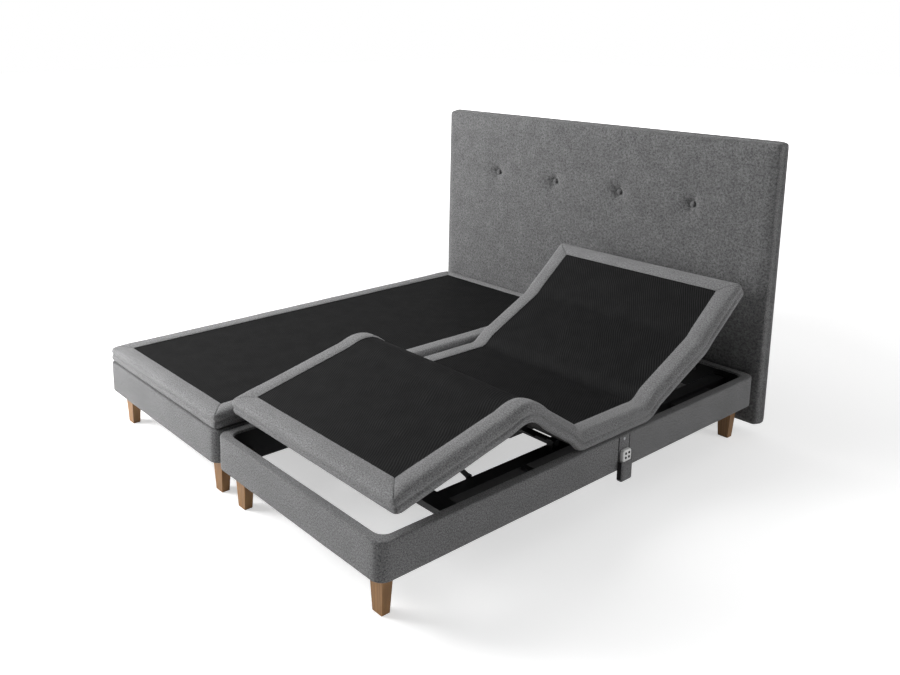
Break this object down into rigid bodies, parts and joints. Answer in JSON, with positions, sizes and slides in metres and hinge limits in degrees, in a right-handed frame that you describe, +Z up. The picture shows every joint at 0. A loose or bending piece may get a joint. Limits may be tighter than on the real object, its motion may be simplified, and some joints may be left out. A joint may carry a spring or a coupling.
{
  "type": "adjustable bed base",
  "caption": "Double adjustable bed base: two upholstered frames with five-section motorised platforms, tapered wooden legs, button-tufted headboard and a handset.",
  "frame": {"origin": "on the floor, under the middle of the bed with its headboard", "axes": "+X across the bed towards the raised base, +Y from the foot to the headboard, +Z up"},
  "size_m": [1.86, 2.08, 1.235],
  "materials": {
    "frame_fabric": "woven grey upholstery",
    "platform_fabric": "woven grey upholstery",
    "platform_mesh": "ribbed black non-slip cloth",
    "lining": "black lining cloth",
    "headboard_fabric": "felted grey upholstery",
    "back_cloth": "black dust cloth on board",
    "deck_board": "black-stained plywood",
    "oak": "oiled oak",
    "black_steel": "black powder coat",
    "drive_plastic": "moulded",
    "nylon": "moulded nylon",
    "zinc": "zinc plated",
    "handset_plastic": "white",
    "key_rubber": "black rubber"
  },
  "bodies": {
    "right_back": {"back_frame_right": "black_steel", "back_deck_right": "deck_board", "back_pad_right": "platform_fabric"},
    "right_neck": {"neck_arms_right": "black_steel", "neck_deck_right": "deck_board", "neck_pad_right": "platform_fabric"},
    "right_thigh": {"thigh_frame_right": "black_steel", "thigh_deck_right": "deck_board", "thigh_pad_right": "platform_fabric"},
    "right_calf": {"calf_arms_right": "black_steel", "calf_deck_right": "deck_board", "calf_pad_right": "platform_fabric"},
    "right_back_push": {"back_push_block_right": "nylon"},
    "right_leg_push": {"leg_push_block_right": "nylon"},
    "right_calf_link": {"calf_links_right": "black_steel"},
    "left_back": {"back_frame_left": "black_steel", "back_deck_left": "deck_board", "back_pad_left": "platform_fabric"},
    "left_neck": {"neck_arms_left": "black_steel", "neck_deck_left": "deck_board", "neck_pad_left": "platform_fabric"},
    "left_thigh": {"thigh_frame_left": "black_steel", "thigh_deck_left": "deck_board", "thigh_pad_left": "platform_fabric"},
    "left_calf": {"calf_arms_left": "black_steel", "calf_deck_left": "deck_board", "calf_pad_left": "platform_fabric"},
    "left_back_push": {"back_push_block_left": "nylon"},
    "left_leg_push": {"leg_push_block_left": "nylon"},
    "left_calf_link": {"calf_links_left": "black_steel"},
    "bed": {"legs_right": "oak", "outer_rail_right": "frame_fabric", "inner_rail_right": "frame_fabric", "foot_rail_right": "frame_fabric", "head_rail_right": "frame_fabric", "chassis_right": "black_steel", "seat_deck_right": "deck_board", "seat_pad_right": "platform_fabric", "drive_housing_right": "drive_plastic", "legs_left": "oak", "outer_rail_left": "frame_fabric", "inner_rail_left": "frame_fabric", "foot_rail_left": "frame_fabric", "head_rail_left": "frame_fabric", "chassis_left": "black_steel", "seat_deck_left": "deck_board", "seat_pad_left": "platform_fabric", "drive_housing_left": "drive_plastic", "headboard_padding": "headboard_fabric", "headboard_board": "back_cloth", "headboard_buttons": "headboard_fabric", "headboard_bolts": "zinc", "base_clips": "black_steel", "handset_holster": "frame_fabric", "control_boxes": "drive_plastic"},
    "handset": {"handset_shell": "handset_plastic"},
    "key_upper_foot": {"handset_key_upper_foot": "key_rubber"},
    "key_upper_head": {"handset_key_upper_head": "key_rubber"},
    "key_lower_foot": {"handset_key_lower_foot": "key_rubber"},
    "key_lower_head": {"handset_key_lower_head": "key_rubber"}
  },
  "joints": [
    {"name": "right_back_tilt", "type": "hinge", "parent": "bed", "child": "right_back", "pos_m": [0.455, 0.21, 0.256], "axis": [1, 0, 0], "range_deg": [-25, 30]},
    {"name": "right_neck_tilt", "type": "hinge", "parent": "right_back", "child": "right_neck", "pos_m": [0.455, 0.58159, 0.42927], "axis": [1, 0, 0], "range_deg": [-12.5, 17.5]},
    {"name": "right_thigh_tilt", "type": "hinge", "parent": "bed", "child": "right_thigh", "pos_m": [0.455, -0.144, 0.256], "axis": [-1, 0, 0], "range_deg": [-33, 12]},
    {"name": "right_knee_bend", "type": "hinge", "parent": "right_thigh", "child": "right_calf", "pos_m": [0.455, -0.41824, 0.4341], "axis": [1, 0, 0], "range_deg": [-45.5, 16.55]},
    {"name": "right_calf_link_swing", "type": "hinge", "parent": "bed", "child": "right_calf_link", "pos_m": [0.455, -0.51225, 0.23], "axis": [-1, 0, 0], "range_deg": [-39.53, 14.38]},
    {"name": "right_back_push_slide", "type": "slide", "parent": "bed", "child": "right_back_push", "axis": [0, 1, 0], "range_m": [-0.02604, 0.03124]},
    {"name": "right_leg_push_slide", "type": "slide", "parent": "bed", "child": "right_leg_push", "axis": [0, -1, 0], "range_m": [-0.03481, 0.01266]},
    {"name": "left_back_tilt", "type": "hinge", "parent": "bed", "child": "left_back", "pos_m": [-0.455, 0.21, 0.256], "axis": [1, 0, 0], "range_deg": [0, 55]},
    {"name": "left_neck_tilt", "type": "hinge", "parent": "left_back", "child": "left_neck", "pos_m": [-0.455, 0.62, 0.256], "axis": [1, 0, 0], "range_deg": [0, 30]},
    {"name": "left_thigh_tilt", "type": "hinge", "parent": "bed", "child": "left_thigh", "pos_m": [-0.455, -0.144, 0.256], "axis": [-1, 0, 0], "range_deg": [0, 45]},
    {"name": "left_knee_bend", "type": "hinge", "parent": "left_thigh", "child": "left_calf", "pos_m": [-0.455, -0.471, 0.256], "axis": [1, 0, 0], "range_deg": [-0.01, 62.05]},
    {"name": "left_calf_link_swing", "type": "hinge", "parent": "bed", "child": "left_calf_link", "pos_m": [-0.455, -0.51225, 0.23], "axis": [-1, 0, 0], "range_deg": [-0.01, 53.91]},
    {"name": "left_back_push_slide", "type": "slide", "parent": "bed", "child": "left_back_push", "axis": [0, 1, 0], "range_m": [-0.00001, 0.05727]},
    {"name": "left_leg_push_slide", "type": "slide", "parent": "bed", "child": "left_leg_push", "axis": [0, -1, 0], "range_m": [-0.00001, 0.04746]},
    {"name": "handset_lift", "type": "slide", "parent": "bed", "child": "handset", "axis": [0, 0, 1], "range_m": [0, 0.085]},
    {"name": "key_upper_foot_press", "type": "slide", "parent": "handset", "child": "key_upper_foot", "axis": [-1, 0, 0], "range_m": [0, 0.0012], "stiffness_N_per_m": 1500},
    {"name": "key_upper_head_press", "type": "slide", "parent": "handset", "child": "key_upper_head", "axis": [-1, 0, 0], "range_m": [0, 0.0012], "stiffness_N_per_m": 1500},
    {"name": "key_lower_foot_press", "type": "slide", "parent": "handset", "child": "key_lower_foot", "axis": [-1, 0, 0], "range_m": [0, 0.0012], "stiffness_N_per_m": 1500},
    {"name": "key_lower_head_press", "type": "slide", "parent": "handset", "child": "key_lower_head", "axis": [-1, 0, 0], "range_m": [0, 0.0012], "stiffness_N_per_m": 1500}
  ],
  "couplings": [
    {"joint": "right_knee_bend", "follows": "right_thigh_tilt", "ratio": 1.3786},
    {"joint": "right_calf_link_swing", "follows": "right_thigh_tilt", "ratio": 1.1977},
    {"joint": "right_back_push_slide", "follows": "right_back_tilt", "m_per_rad": 0.059647},
    {"joint": "right_leg_push_slide", "follows": "right_thigh_tilt", "m_per_rad": 0.060419},
    {"joint": "left_knee_bend", "follows": "left_thigh_tilt", "ratio": 1.3786},
    {"joint": "left_calf_link_swing", "follows": "left_thigh_tilt", "ratio": 1.1977},
    {"joint": "left_back_push_slide", "follows": "left_back_tilt", "m_per_rad": 0.059647},
    {"joint": "left_leg_push_slide", "follows": "left_thigh_tilt", "m_per_rad": 0.060419}
  ]
}
